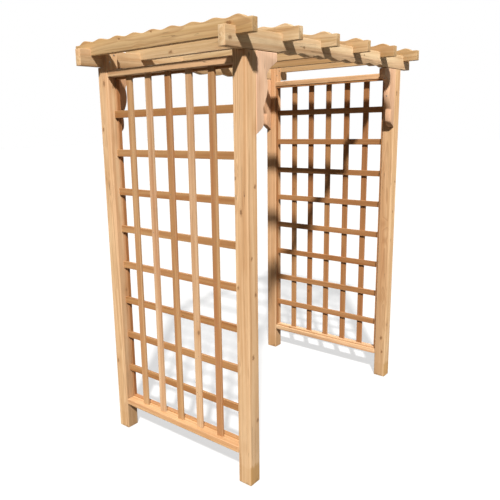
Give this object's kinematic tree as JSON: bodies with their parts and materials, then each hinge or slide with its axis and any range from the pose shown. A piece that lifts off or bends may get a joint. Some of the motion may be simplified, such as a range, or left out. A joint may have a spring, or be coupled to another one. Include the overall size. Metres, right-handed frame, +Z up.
{
  "type": "garden arbor",
  "caption": "Walk-through wooden garden arbor: square posts, scalloped rafters notched over wavy headers, shaped knee braces and slatted side panels; an open frame.",
  "frame": {"origin": "centre of the bounding box's base, on the ground between the four posts", "axes": "+X along the headers to the right, +Y through the passage to the back, +Z up"},
  "size_m": [1.78, 1.074, 2.049],
  "materials": {
    "post_wood": "planed cedar, matt",
    "header_wood": "planed cedar, matt",
    "rafter_wood": "planed cedar, matt",
    "brace_wood": "planed cedar, sawn edges, matt",
    "rail_wood": "planed cedar, matt",
    "slat_wood": "planed cedar, matt",
    "cleat_wood": "planed cedar, matt"
  },
  "bodies": {
    "root": {"post_front_left": "post_wood", "post_front_right": "post_wood", "post_back_left": "post_wood", "post_back_right": "post_wood", "header_front": "header_wood", "header_back": "header_wood", "rafter_1": "rafter_wood", "rafter_2": "rafter_wood", "rafter_3": "rafter_wood", "rafter_4": "rafter_wood", "rafter_5": "rafter_wood", "rafter_6": "rafter_wood", "brace_front_left": "brace_wood", "brace_front_right": "brace_wood", "brace_back_left": "brace_wood", "brace_back_right": "brace_wood", "top_rail_left": "rail_wood", "top_rail_right": "rail_wood", "bottom_rail_left": "rail_wood", "bottom_rail_right": "rail_wood", "lattice_left": "slat_wood", "lattice_right": "slat_wood", "cleat_left_front": "cleat_wood", "cleat_left_back": "cleat_wood", "cleat_left_bottom": "cleat_wood", "cleat_left_top": "cleat_wood", "cleat_right_front": "cleat_wood", "cleat_right_back": "cleat_wood", "cleat_right_bottom": "cleat_wood", "cleat_right_top": "cleat_wood"}
  },
  "joints": []
}
